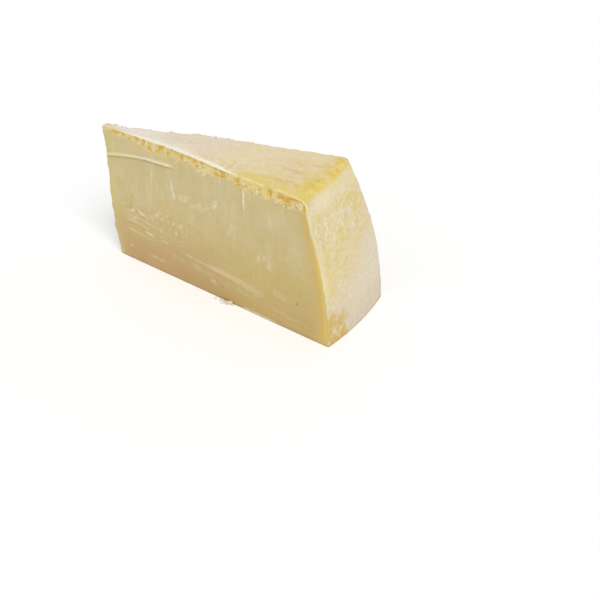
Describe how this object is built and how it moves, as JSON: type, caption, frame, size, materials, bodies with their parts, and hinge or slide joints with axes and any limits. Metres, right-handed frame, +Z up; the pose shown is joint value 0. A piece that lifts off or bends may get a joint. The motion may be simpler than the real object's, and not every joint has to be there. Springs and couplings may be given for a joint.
{
  "type": "parmesan-style cheese wedge",
  "caption": "Tall wedge of parmesan-style hard cheese cut from half a wheel, with a curved rind, a snapped-off point and a crumbly torn seam under its flat top.",
  "frame": {"origin": "middle of the base, at the bounding box's bottom centre", "axes": "+X from the snapped-off point to the rind along the wedge's middle, +Z up, so that the front cut faces -Y"},
  "size_m": [0.191, 0.0724, 0.0952],
  "materials": {
    "cheese": "matt pale straw cheese with a dry cream rind"
  },
  "bodies": {
    "root": {"cheese_wedge": "cheese"}
  },
  "joints": []
}
